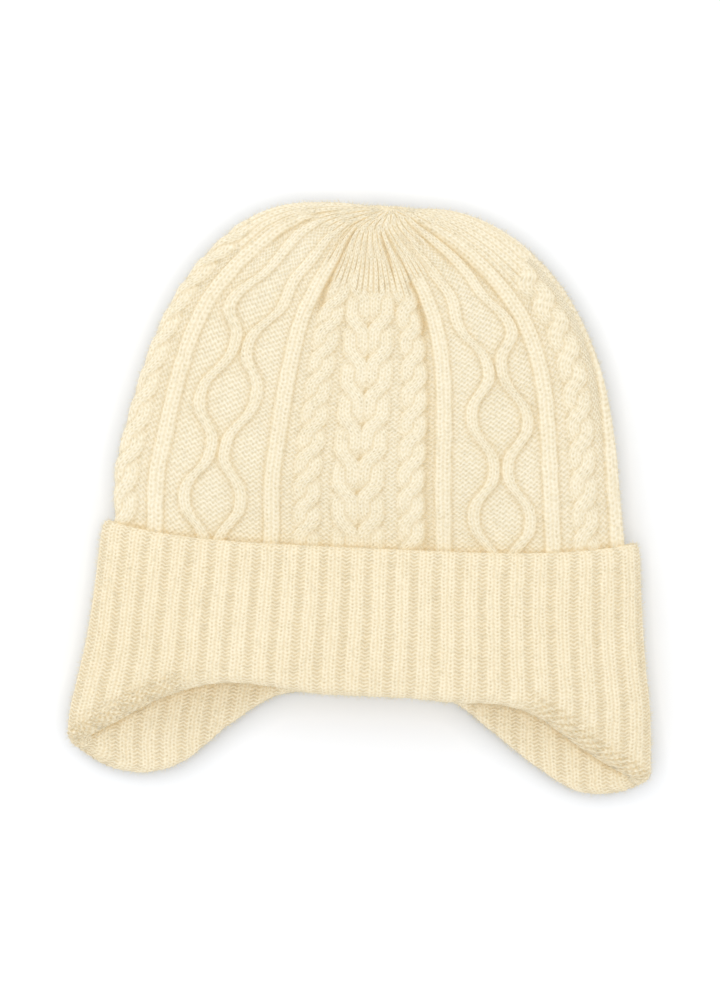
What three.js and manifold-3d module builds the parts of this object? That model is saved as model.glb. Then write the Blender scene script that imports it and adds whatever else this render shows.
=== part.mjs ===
// A cable-knit hat with a turned-up ribbed cuff and ear flaps, lying flat on its back.
// Millimetres. X runs across the front, to the right; Y runs up the hat, from the hem to the
// gathered top; Z is up, away from the surface that the hat lies on.
import * as THREE from "three";
import { mergeVertices } from "three/addons/utils/BufferGeometryUtils.js";
import Module from "manifold-3d";

// Rows of a table as objects with the columns' names
function table(columns, rows) {
  return rows.map((row) => Object.fromEntries(row.map((value, index) => [columns[index], value])));
}

// Crown
const CROWN_HEIGHT = 200; // from the hem's level to the top edge
const CROWN_HALF_WIDTH = 105.2; // just above the cuff
const CROWN_THICKNESS = 20; // front to back, lying flat
const CROWN_WALL = 3;
const CABLE_RELIEF = 1.7; // how far a cable stands above the purl ground
const TUCKED_RELIEF = 0.6; // what the cuff's pressure leaves of it

// Cable pattern. A quarter of it runs from the middle of a wheat cable, front or back, to the
// middle of a side rib, and the next quarter mirrors it.
const QUARTERS = 4;
const PATTERN_SHIFT = -6.5; // the front wheat cable's middle, from the front's middle
const WHEAT_WIDTH = 18.5;
const ROPE_WIDTH = 10;
const RIB_WIDTH = 6.3;
const STRAND_WIDTH = 5;
const STRAND_GAP = 0.4; // between two strands where they meet
const EYE_WIDTH = 22; // between the two strands of an ogee, at their widest
const EYE_HEIGHT = 40;
const EYE_FOOT = 17; // height of the lowest place where two strands meet
// Places of the cables between the wheat cable and the side rib, as shares of the quarter
const INNER_ROPE = 0.198;
const INNER_RIB = 0.32;
const OGEE = 0.544;
const OUTER_RIB = 0.75;
const OUTER_ROPE = 0.869;
const OUTER_GROUND = 0.943;

// Profiles of the cables: ways across as shares of the width, and how much of the relief
const RIDGE = table(["across", "lift"], [[-0.5, 0], [0, 1], [0.5, 0]]);
const ROUNDED = table(["across", "lift"], [[-0.5, 0], [-0.25, 1], [0.25, 1], [0.5, 0]]);
const GROUND = table(["across", "lift"], [[0, 0]]);
const DOUBLE = table(["across", "lift"], [[-0.5, 0], [-0.25, 1], [0, 0.2], [0.25, 1], [0.5, 0]]);

// Cuff, a turned-up band whose lower edge is a fold
const CUFF_HEIGHT = 60;
const CUFF_HALF_WIDTH = 109.4;
const CUFF_THICKNESS = 28; // front to back, lying flat
const CUFF_WALL = 3.8;
const CUFF_RIBS = 50;
const CUFF_RELIEF = 1.2;
const CUFF_VALLEY = 0.35; // share of a rib's pitch that is purl valley
const CUFF_SIDE_RISE = 6.5; // how much higher the free edge is at the side folds
const JOIN_HEIGHT = 20; // where the cable knit begins, inside the cuff
const LAYER_GAP = 0.9; // between the crown and the cuff turned up over it

// Ear flaps, knitted on below the hem
const FLAP_DROP = 38;
const FLAP_REACH = 128; // along the hem, from where a flap leaves it to where it comes back
const FLAP_SEAM = 4; // below the hem, where flap and cuff meet
const SEAM_GAP = 0.3; // between neighbouring pieces

const SIDE_ROUNDING = 0.6; // 1 is an ellipse, less is flatter with tighter side folds
const REST_SINK = 0.7; // how far the soft underside is pressed flat

// Sections of the crown above the cuff. rise, front and back are the heights of the side folds
// and of the front's and back's middles, as shares of the height between the cuff's highest
// place and the crown's top; left and right are shares of CROWN_HALF_WIDTH; under and over are
// shares of CROWN_THICKNESS; draw below 1 pulls the inner wales together; relief is the share of
// CABLE_RELIEF.
const CROWN_SECTIONS = table(
  ["rise", "front", "back", "left", "right", "under", "over", "draw", "relief"],
  [
    [0.041, 0.041, 0.041, 1.004, 0.976, 0.1, 1.22, 1, 1],
    [0.161, 0.161, 0.161, 1, 0.952, 0.02, 1.2, 1, 1],
    [0.333, 0.333, 0.333, 0.962, 0.916, 0, 1.16, 0.99, 1],
    [0.513, 0.498, 0.513, 0.904, 0.862, 0, 1.1, 0.97, 1],
    [0.663, 0.628, 0.663, 0.83, 0.782, 0, 1.03, 0.93, 1],
    [0.783, 0.73, 0.775, 0.742, 0.684, 0.01, 0.97, 0.83, 1],
    [0.88, 0.817, 0.862, 0.634, 0.56, 0.03, 0.92, 0.7, 1],
    [0.949, 0.883, 0.925, 0.53, 0.428, 0.09, 0.88, 0.58, 0.95],
    [0.988, 0.93, 0.967, 0.4, 0.3, 0.2, 0.85, 0.48, 0.8],
    [0.999, 0.961, 0.991, 0.23, 0.19, 0.38, 0.82, 0.42, 0.6],
    [0.994, 0.979, 0.996, 0.08, 0.08, 0.58, 0.78, 0.42, 0.2],
  ],
);
const GATHER_POINT = { rise: 0.986, height: 0.7 };
const RINGS_PER_SECTION = 2;
const LINING_TOP = 0.9; // share of the same height that the hollow reaches, under the gathers
const LINING_STEP = 3; // the smooth inner face needs only every third ring

// Sections of the cuff and flaps. A section's height is cuff x CUFF_HEIGHT - flap x FLAP_DROP;
// left and right are shares of CUFF_HALF_WIDTH, and over is a share of CUFF_THICKNESS.
const CUFF_SECTIONS = [
  { cuff: 0, flap: 1.1, left: 1.09, right: 1.08, over: 0.56 },
  { cuff: 0, flap: 0.5, left: 1.104, right: 1.073, over: 0.74 },
  { cuff: 0, flap: 0, left: 1.075, right: 1.057, over: 0.93 },
  { cuff: 0.25, flap: 0, left: 1.05, right: 1.035, over: 0.985 },
  { cuff: 0.65, flap: 0, left: 1.025, right: 1.01, over: 1 },
  { cuff: 1.15, flap: 0, left: 1.004, right: 0.99, over: 0.985 },
];

// Lower edge of the flaps: around is the way along the hem from the side fold, a share of
// FLAP_REACH, negative over the front; left and right are the drops, shares of FLAP_DROP.
const FLAP_EDGE = [
  { around: -0.8, left: 0, right: 0 },
  { around: -0.64, left: -0.06, right: 0.03 },
  { around: -0.5, left: -0.08, right: 0.03 },
  { around: -0.37, left: 0, right: 0.14 },
  { around: -0.26, left: 0.15, right: 0.38 },
  { around: -0.14, left: 0.41, right: 0.63 },
  { around: -0.04, left: 0.6, right: 0.79 },
  { around: 0.04, left: 0.74, right: 0.87 },
  { around: 0.12, left: 0.9, right: 0.97 },
  { around: 0.22, left: 0.97, right: 0.97 },
  { around: 0.36, left: 0.83, right: 0.72 },
  { around: 0.52, left: 0.38, right: 0.33 },
  { around: 0.64, left: 0.09, right: 0.06 },
  { around: 0.8, left: 0, right: 0 },
];

// Rounded edges of the band: inset from its outer face, a share of the doubled wall at the folded
// edge and of the single one at the free edge, and height from the edge, a share of the same.
const FOLDED_EDGE = [
  { inset: 0.83, height: 0.17 },
  { inset: 0.5, height: 0 },
  { inset: 0.17, height: 0.17 },
];
const FACE_SIDE = 0.5; // an inset below this share belongs to the ribbed outer face
const FREE_EDGE = { outer: 0.3, inner: 0.7 };
const FACE_ROWS = [0, 0.3, 0.62, 1]; // rows of the outer face, from the lower edge to the free one

const WOOL = { color: 0xf5e9c9, roughness: 0.95, metalness: 0 };

const CUFF_TOP = CUFF_HEIGHT + CUFF_SIDE_RISE;

const wasm = await Module();
wasm.setup();

// A smooth curve through a table's rows, which gives back an object with the table's columns.
function smoothTable(positions, rows) {
  const columns = Object.keys(rows[0]);
  const values = rows.flatMap((row) => columns.map((column) => row[column]));
  const curve = new THREE.CubicInterpolant(positions, values, columns.length);
  return (position) => {
    const row = curve.evaluate(THREE.MathUtils.clamp(position, positions[0], positions.at(-1)));
    return Object.fromEntries(columns.map((column, index) => [column, row[index]]));
  };
}

// A point of the flattened loop that a section makes round the head. The angle starts at the
// right-hand fold and goes over the front; the inset is how far inside the section it lies.
function loopPoint(section, angle, inset = 0) {
  const across = Math.cos(angle);
  const up = Math.sin(angle);
  const share = across * THREE.MathUtils.lerp(section.draw, 1, across * across);
  const x = section.middle + (section.half - inset) * share;
  const halfThickness = (section.over - section.under) / 2 - inset;
  const lift = Math.sign(up) * Math.abs(up) ** SIDE_ROUNDING;
  const z = (section.over + section.under) / 2 + halfThickness * lift;
  const middleHeight = up > 0 ? section.front : section.back;
  const y = THREE.MathUtils.lerp(middleHeight, section.rise, share * share);
  return new THREE.Vector3(x, y, z);
}

// The same point moved outwards by a relief, and pressed flat where it lies on the ground.
function surfacePoint(section, angle, inset, relief) {
  const inner = loopPoint(section, angle, inset + CROWN_WALL);
  const point = loopPoint(section, angle, inset);
  const outwards = point.clone().sub(inner).normalize();
  point.addScaledVector(outwards, relief);
  point.z = Math.max(point.z, 0);
  return point;
}

// Angles of the loop at given ways round it, in millimetres from the front's middle to the right.
function angleFinder(section) {
  const steps = 720;
  const lengths = [0];
  for (let step = 1; step <= steps; step += 1) {
    const before = loopPoint(section, Math.PI / 2 - (2 * Math.PI * (step - 1)) / steps);
    const after = loopPoint(section, Math.PI / 2 - (2 * Math.PI * step) / steps);
    lengths.push(lengths.at(-1) + before.distanceTo(after));
  }
  const round = lengths.at(-1);
  const angleAt = (way) => {
    const wrapped = THREE.MathUtils.euclideanModulo(way, round);
    const next = lengths.findIndex((length) => length > wrapped);
    const share = (wrapped - lengths[next - 1]) / (lengths[next] - lengths[next - 1]);
    return Math.PI / 2 - (2 * Math.PI * (next - 1 + share)) / steps;
  };
  return { round, angleAt };
}

// A closed mesh over rings of equal length. Ends are closed by poles, or the last ring joins
// the first one where no poles are given.
function loft(rings, poles) {
  const around = rings[0].length;
  const points = rings.flat();
  const faces = [];
  const joins = poles ? rings.length - 1 : rings.length;
  for (let ring = 0; ring < joins; ring += 1) {
    const near = ring * around;
    const far = ((ring + 1) % rings.length) * around;
    for (let column = 0; column < around; column += 1) {
      const next = (column + 1) % around;
      faces.push([near + column, near + next, far + column]);
      faces.push([near + next, far + next, far + column]);
    }
  }
  if (poles) {
    const [first, last] = poles;
    const firstIndex = points.push(first) - 1;
    const lastIndex = points.push(last) - 1;
    const lastRing = (rings.length - 1) * around;
    for (let column = 0; column < around; column += 1) {
      const next = (column + 1) % around;
      faces.push([firstIndex, next, column]);
      faces.push([lastIndex, lastRing + column, lastRing + next]);
    }
  }
  const geometry = new THREE.BufferGeometry().setFromPoints(points);
  geometry.setIndex(faces.flat());
  return geometry;
}

function toSolid(geometry) {
  const bare = geometry.clone();
  bare.deleteAttribute("normal");
  bare.deleteAttribute("uv");
  const merged = mergeVertices(bare);
  return new wasm.Manifold(
    new wasm.Mesh({
      numProp: 3,
      vertProperties: merged.attributes.position.array,
      triVerts: new Uint32Array(merged.index.array),
    }),
  );
}

function toGeometry(solid) {
  const mesh = solid.getMesh();
  const geometry = new THREE.BufferGeometry();
  geometry.setAttribute("position", new THREE.BufferAttribute(mesh.vertProperties, 3));
  geometry.setIndex(new THREE.BufferAttribute(mesh.triVerts, 1));
  return geometry;
}

function knitMesh(name, geometry) {
  geometry.computeVertexNormals();
  const mesh = new THREE.Mesh(geometry, new THREE.MeshStandardMaterial(WOOL));
  mesh.name = name;
  return mesh;
}

// Sections of the cuff's outer face at any height
const cuffRowAt = smoothTable(
  CUFF_SECTIONS.map((row) => row.cuff * CUFF_HEIGHT - row.flap * FLAP_DROP),
  CUFF_SECTIONS,
);

function cuffSection(height) {
  const row = cuffRowAt(height);
  const left = row.left * CUFF_HALF_WIDTH;
  const right = row.right * CUFF_HALF_WIDTH;
  return {
    middle: (right - left) / 2,
    half: (left + right) / 2,
    rise: height,
    front: height,
    back: height,
    under: -REST_SINK,
    over: row.over * CUFF_THICKNESS,
    draw: 1,
  };
}

// What lies inside the cuff's outer face: the turned-up layer, then the crown's face
const TUCK_INSET = CUFF_WALL + LAYER_GAP + TUCKED_RELIEF;

function shrink(section, inset) {
  return {
    ...section,
    half: section.half - inset,
    under: section.under + inset,
    over: section.over - inset,
  };
}

const crownRowAt = smoothTable(
  CROWN_SECTIONS.map((row, index) => index),
  CROWN_SECTIONS,
);

function crownSection(position) {
  const row = crownRowAt(position);
  const left = row.left * CROWN_HALF_WIDTH;
  const right = row.right * CROWN_HALF_WIDTH;
  return {
    middle: (right - left) / 2,
    half: (left + right) / 2,
    rise: THREE.MathUtils.lerp(CUFF_TOP, CROWN_HEIGHT, row.rise),
    front: THREE.MathUtils.lerp(CUFF_TOP, CROWN_HEIGHT, row.front),
    back: THREE.MathUtils.lerp(CUFF_TOP, CROWN_HEIGHT, row.back),
    under: row.under * CROWN_THICKNESS - REST_SINK,
    over: row.over * CROWN_THICKNESS,
    draw: row.draw,
    relief: row.relief * CABLE_RELIEF,
  };
}

// All the crown's sections, from its lower edge inside the cuff to the last one by the gather
function crownSections() {
  const tuckedHeights = [JOIN_HEIGHT, (JOIN_HEIGHT + CUFF_TOP) / 2, CUFF_TOP];
  const tucked = tuckedHeights.map((height) => ({
    ...shrink(cuffSection(height), TUCK_INSET),
    relief: TUCKED_RELIEF,
  }));
  const count = (CROWN_SECTIONS.length - 1) * RINGS_PER_SECTION + 1;
  const open = Array.from({ length: count }, (_, index) => crownSection(index / RINGS_PER_SECTION));
  return [...tucked, ...open];
}

function columnsOf(profile, middle, width) {
  return profile.map(({ across, lift }) => ({ way: middle + across * width, lift }));
}

// Cables of half the loop at a height: a wheat cable, the quarter's cables, the side rib and the
// quarter's cables mirrored. An ogee's strands swing apart and meet again up the crown.
function halfLoopCables(height, quarter) {
  const turns = (height - EYE_FOOT) / EYE_HEIGHT;
  const widest = EYE_WIDTH / 2;
  const narrowest = (STRAND_WIDTH + STRAND_GAP) / 2;
  const open = (1 - Math.cos(2 * Math.PI * turns)) / 2;
  const swing = THREE.MathUtils.lerp(narrowest, widest, open);
  const between = [
    { profile: ROUNDED, middle: INNER_ROPE * quarter, width: ROPE_WIDTH },
    { profile: RIDGE, middle: INNER_RIB * quarter, width: RIB_WIDTH },
    { profile: RIDGE, middle: OGEE * quarter - swing, width: STRAND_WIDTH },
    { profile: RIDGE, middle: OGEE * quarter + swing, width: STRAND_WIDTH },
    { profile: RIDGE, middle: OUTER_RIB * quarter, width: RIB_WIDTH },
    { profile: ROUNDED, middle: OUTER_ROPE * quarter, width: ROPE_WIDTH },
    { profile: GROUND, middle: OUTER_GROUND * quarter, width: 0 },
  ];
  const mirrored = between.map((cable) => ({ ...cable, middle: 2 * quarter - cable.middle }));
  return [
    { profile: DOUBLE, middle: 0, width: WHEAT_WIDTH },
    ...between,
    { profile: RIDGE, middle: quarter, width: RIB_WIDTH },
    ...mirrored.reverse(),
  ];
}

function crownGeometry() {
  const sections = crownSections();
  const reference = shrink(cuffSection(CUFF_TOP), TUCK_INSET);
  const { round, angleAt } = angleFinder(reference);
  const quarter = round / QUARTERS;
  const columnsAt = (section) => {
    const knitHeight = THREE.MathUtils.lerp(section.front, section.rise, OGEE ** 2);
    const half = halfLoopCables(knitHeight, quarter).flatMap(({ profile, middle, width }) =>
      columnsOf(profile, middle, width),
    );
    return [0, round / 2].flatMap((start) =>
      half.map(({ way, lift }) => ({ angle: angleAt(way + start + PATTERN_SHIFT), lift })),
    );
  };
  const outer = sections.map((section) =>
    columnsAt(section).map(({ angle, lift }) =>
      surfacePoint(section, angle, 0, lift * section.relief),
    ),
  );
  const highest = THREE.MathUtils.lerp(CUFF_TOP, CROWN_HEIGHT, LINING_TOP);
  const roomy = sections.filter((section) => section.rise < highest);
  const lining = roomy.filter(
    (section, index) => index % LINING_STEP === 0 || section === roomy.at(-1),
  );
  const inner = lining.map((section) =>
    columnsAt(section).map(({ angle }) => loopPoint(section, angle, CROWN_WALL)),
  );
  const top = lining.at(-1);
  const innerPole = new THREE.Vector3(
    top.middle,
    top.rise + CROWN_WALL,
    (top.over + top.under) / 2,
  );
  const last = sections.at(-1);
  const outerPole = new THREE.Vector3(
    last.middle,
    THREE.MathUtils.lerp(CUFF_TOP, CROWN_HEIGHT, GATHER_POINT.rise),
    GATHER_POINT.height * CROWN_THICKNESS,
  );
  return loft([...inner.reverse(), ...outer], [innerPole, outerPole]);
}

// Where the cuff's free edge and its folded lower edge lie, at an angle round the loop
const cuffLoop = angleFinder(cuffSection(0));
const flapEdgeAt = smoothTable(
  FLAP_EDGE.map((row) => row.around * FLAP_REACH),
  FLAP_EDGE,
);

function lowerEdge(way) {
  const quarter = cuffLoop.round / 4;
  const toRight = way - quarter;
  const toLeft = 3 * quarter - way;
  const reach = FLAP_EDGE.at(-1).around * FLAP_REACH;
  if (Math.abs(toRight) < reach) return -flapEdgeAt(toRight).right * FLAP_DROP;
  if (Math.abs(toLeft) < reach) return -flapEdgeAt(toLeft).left * FLAP_DROP;
  return 0;
}

function upperEdge(angle) {
  return CUFF_HEIGHT + CUFF_SIDE_RISE * Math.cos(angle) ** 4;
}

// One column of the band as a closed profile: its foot is doubled up to where the crown begins,
// and from there up only the turned-up layer goes on, outside the crown.
function bandColumn(way, lift) {
  const angle = cuffLoop.angleAt(way);
  const low = lowerEdge(way);
  const high = upperEdge(angle);
  const relief = lift * CUFF_RELIEF;
  const double = TUCK_INSET + CROWN_WALL;
  const place = (height, inset, raised) =>
    surfacePoint(cuffSection(height), angle, inset, raised ? relief : 0);
  const fold = FOLDED_EDGE.map(({ inset, height }) =>
    place(low + height * double, inset * double, inset < FACE_SIDE),
  );
  const face = FACE_ROWS.map((share) =>
    place(THREE.MathUtils.lerp(low + double / 2, high - CUFF_WALL / 2, share), 0, true),
  );
  return [
    ...fold,
    ...face,
    place(high, FREE_EDGE.outer * CUFF_WALL, true),
    place(high, FREE_EDGE.inner * CUFF_WALL, false),
    place(high - CUFF_WALL / 2, CUFF_WALL, false),
    place(JOIN_HEIGHT - SEAM_GAP, CUFF_WALL, false),
    place(JOIN_HEIGHT - SEAM_GAP, double, false),
    place((low + JOIN_HEIGHT) / 2, double, false),
    place(low + double / 2, double, false),
  ];
}

function bandSolid() {
  const pitch = cuffLoop.round / CUFF_RIBS;
  const columns = [];
  for (let rib = 0; rib < CUFF_RIBS; rib += 1) {
    columns.push(bandColumn(rib * pitch, 0));
    columns.push(bandColumn((rib + CUFF_VALLEY / 2) * pitch, 1));
    columns.push(bandColumn((rib + 1 - CUFF_VALLEY / 2) * pitch, 1));
  }
  const rings = columns[0].map((_, ring) => columns.map((column) => column[ring]));
  return toSolid(loft(rings));
}

// The space below a level, on one side of the hat or on both
function spaceBelow(level, side) {
  const size = 4 * CUFF_HALF_WIDTH;
  const box = new THREE.BoxGeometry(size, size, size);
  return toSolid(box.translate((side * size) / 2, level - size / 2, 0));
}

const band = bandSolid();
const cuff = band.subtract(spaceBelow(-FLAP_SEAM, 0));
const flapLeft = band.intersect(spaceBelow(-FLAP_SEAM - SEAM_GAP, -1));
const flapRight = band.intersect(spaceBelow(-FLAP_SEAM - SEAM_GAP, 1));

const hat = new THREE.Group();
hat.add(
  knitMesh("crown", crownGeometry()),
  knitMesh("cuff", toGeometry(cuff)),
  knitMesh("ear_flap_left", toGeometry(flapLeft)),
  knitMesh("ear_flap_right", toGeometry(flapRight)),
);

// The frame's origin is the middle of the footprint, on the surface that the hat lies on.
const bounds = new THREE.Box3().setFromObject(hat);
const footprint = bounds.getCenter(new THREE.Vector3());
hat.position.set(-footprint.x, -footprint.y, -bounds.min.z);

export default hat;
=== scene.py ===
"""A cable-knit hat with a turned-up ribbed cuff and ear flaps, lying flat on a white floor."""
import logging
import math
from dataclasses import dataclass
from enum import Enum
from typing import Sequence

import bmesh
import bpy
import numpy as np
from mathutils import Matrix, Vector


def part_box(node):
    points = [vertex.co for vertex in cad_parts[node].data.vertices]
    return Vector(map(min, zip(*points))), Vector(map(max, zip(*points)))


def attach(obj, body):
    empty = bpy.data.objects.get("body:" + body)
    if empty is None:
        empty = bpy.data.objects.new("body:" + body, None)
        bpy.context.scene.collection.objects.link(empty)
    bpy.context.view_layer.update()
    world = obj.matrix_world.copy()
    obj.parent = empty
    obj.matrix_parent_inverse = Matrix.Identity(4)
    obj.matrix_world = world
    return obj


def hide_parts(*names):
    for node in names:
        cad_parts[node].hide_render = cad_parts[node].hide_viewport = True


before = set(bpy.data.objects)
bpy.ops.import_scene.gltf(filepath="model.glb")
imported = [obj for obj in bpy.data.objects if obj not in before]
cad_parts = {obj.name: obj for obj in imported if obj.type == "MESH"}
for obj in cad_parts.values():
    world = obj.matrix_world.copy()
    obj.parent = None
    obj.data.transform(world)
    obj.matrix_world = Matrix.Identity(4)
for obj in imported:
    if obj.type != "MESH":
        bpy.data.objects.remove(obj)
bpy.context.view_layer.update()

MM = 0.001
LOG = logging.getLogger("hat")

Array = np.ndarray
Colour = tuple[float, float, float]
Socket = bpy.types.NodeSocket


class Slot(Enum):
    """Material slots of the record."""

    CABLE_KNIT = "cable_knit"
    RIB_KNIT = "rib_knit"


class Node(Enum):
    """CAD solids that the knitted pieces stand for."""

    CROWN = "crown"
    CUFF = "cuff"
    FLAP_LEFT = "ear_flap_left"
    FLAP_RIGHT = "ear_flap_right"


def linear(red: float, green: float, blue: float) -> Colour:
    """Turn a display colour into the linear one that shaders take.

    Args:
        red: Red from 0 to 255.
        green: Green from 0 to 255.
        blue: Blue from 0 to 255.

    Returns:
        The linear colour.
    """
    shares = (value / 255 for value in (red, green, blue))
    return tuple(s / 12.92 if s <= 0.04045 else ((s + 0.055) / 1.055) ** 2.4 for s in shares)


def smooth_step(low: float, high: float, value: Array) -> Array:
    """Rise smoothly from 0 at low to 1 at high.

    Args:
        low: Where the rise starts; it may lie above high, and then it falls.
        high: Where it ends.
        value: Places to read it at.

    Returns:
        Shares from 0 to 1.
    """
    share = np.clip((value - low) / (high - low), 0, 1)
    return share * share * (3 - 2 * share)


def blurred(field: Array, reach: float) -> Array:
    """Average a field over its neighbourhood; its columns run round a loop.

    Args:
        field: Rows by columns.
        reach: Spread of the average, in cells.

    Returns:
        The averaged field.
    """
    steps = np.arange(-int(2.5 * reach), int(2.5 * reach) + 1)
    weights = np.exp(-0.5 * (steps / reach) ** 2)
    weights /= weights.sum()
    along = sum(w * np.roll(field, s, axis=1) for w, s in zip(weights, steps))
    rows = np.arange(field.shape[0])
    return sum(w * along[np.clip(rows + s, 0, rows[-1])] for w, s in zip(weights, steps))


def hollows(relief: Array, spreads: Sequence[tuple[float, float]]) -> Array:
    """Find how far points of a relief lie below their neighbourhood.

    Args:
        relief: Heights, rows by columns; the last column repeats the first.
        spreads: Weights, and the reach of each neighbourhood in cells.

    Returns:
        Weighted depths, rows by columns.
    """
    ring = relief[:, :-1]
    deep = sum(weight * (blurred(ring, reach) - ring) for weight, reach in spreads)
    return np.concatenate([deep, deep[:, :1]], axis=1)


def wavy(turn: Array, height: Array, waves: Sequence[Sequence[float]]) -> Array:
    """Add up waves that run round the hat and lean with the height.

    Args:
        turn: Angles round the hat, in radians.
        height: Heights in millimetres.
        waves: Rows of size, waves in a turn, height in a radian of the wave, and phase.

    Returns:
        The sum of the waves.
    """
    return sum(size * np.sin(count * turn + height / rise + phase)
               for size, count, rise, phase in waves)


class SmoothTable:
    """A smooth curve through the rows of a table."""

    def __init__(self, positions: Sequence[float], rows: Sequence[Sequence[float]]) -> None:
        """Keep the table.

        Args:
            positions: Where each row stands, rising.
            rows: The rows' values.
        """
        self.positions = np.asarray(positions, float)
        self.rows = np.asarray(rows, float)

    def __call__(self, place: Array) -> Array:
        """Read the curve.

        Args:
            place: Where to read it; places outside the table read its ends.

        Returns:
            The values, in a last axis.
        """
        knots = self.positions
        place = np.clip(np.asarray(place, float), knots[0], knots[-1])
        right = np.clip(np.searchsorted(knots, place, side="right"), 1, len(knots) - 1)
        left = right - 1
        before = np.where(left > 0, left - 1, right)
        after = np.where(right < len(knots) - 1, right + 1, left)
        half = (knots[right] - knots[left]) / 2
        weight_before = half / (knots[left] - knots[before])
        weight_after = half / (knots[after] - knots[right])
        p = (place - knots[left]) / (knots[right] - knots[left])
        terms = (
            (before, weight_before * (-(p**3) + 2 * p**2 - p)),
            (left, (1 + weight_before) * p**3 - (1.5 + 2 * weight_before) * p**2
             + (weight_before - 0.5) * p + 1),
            (right, -(1 + weight_after) * p**3 + (1.5 + weight_after) * p**2 + 0.5 * p),
            (after, weight_after * (p**3 - p**2)),
        )
        return sum(self.rows[index] * share[..., None] for index, share in terms)


@dataclass(frozen=True)
class FlatLoop:
    """Flattened loops round the head, in millimetres; every field may hold many of them."""

    middle: Array
    half: Array
    rise: Array
    front: Array
    back: Array
    under: Array
    over: Array
    draw: Array
    rounding: float = 0.6

    def shrunk(self, inset: float) -> "FlatLoop":
        """Return the loop that lies inside this one by the inset, in millimetres."""
        return FlatLoop(
            self.middle, self.half - inset, self.rise, self.front, self.back,
            self.under + inset, self.over - inset, self.draw,
        )

    def points(self, angle: Array, inset: Array | float = 0.0) -> Array:
        """Find points of the loop.

        Args:
            angle: From the right-hand fold over the front, in radians.
            inset: How far inside the loop the points lie.

        Returns:
            Points in a last axis of three.
        """
        across, up = np.cos(angle), np.sin(angle)
        share = across * (self.draw + (1 - self.draw) * across**2)
        x = self.middle + (self.half - inset) * share
        half_thickness = (self.over - self.under) / 2 - inset
        lift = np.sign(up) * np.abs(up) ** self.rounding
        z = (self.over + self.under) / 2 + half_thickness * lift
        middle_height = np.where(up > 0, self.front, self.back)
        y = middle_height + (self.rise - middle_height) * share**2
        return np.stack(np.broadcast_arrays(x, y, z), axis=-1)


class WayRound:
    """Ways round a loop in millimetres, from the front's middle to the right."""

    STEPS = 2880

    def __init__(self, loop: FlatLoop) -> None:
        """Measure the loop.

        Args:
            loop: The loop, with single numbers in its fields.
        """
        self.angles = math.pi / 2 - 2 * math.pi * np.arange(self.STEPS + 1) / self.STEPS
        points = loop.points(self.angles)
        steps = np.linalg.norm(np.diff(points, axis=0), axis=1)
        self.lengths = np.concatenate([[0], np.cumsum(steps)])
        self.round = float(self.lengths[-1])

    def angle_at(self, way: Array) -> Array:
        """Return the loop's angles at ways round it."""
        return np.interp(np.mod(way, self.round), self.lengths, self.angles)


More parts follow.
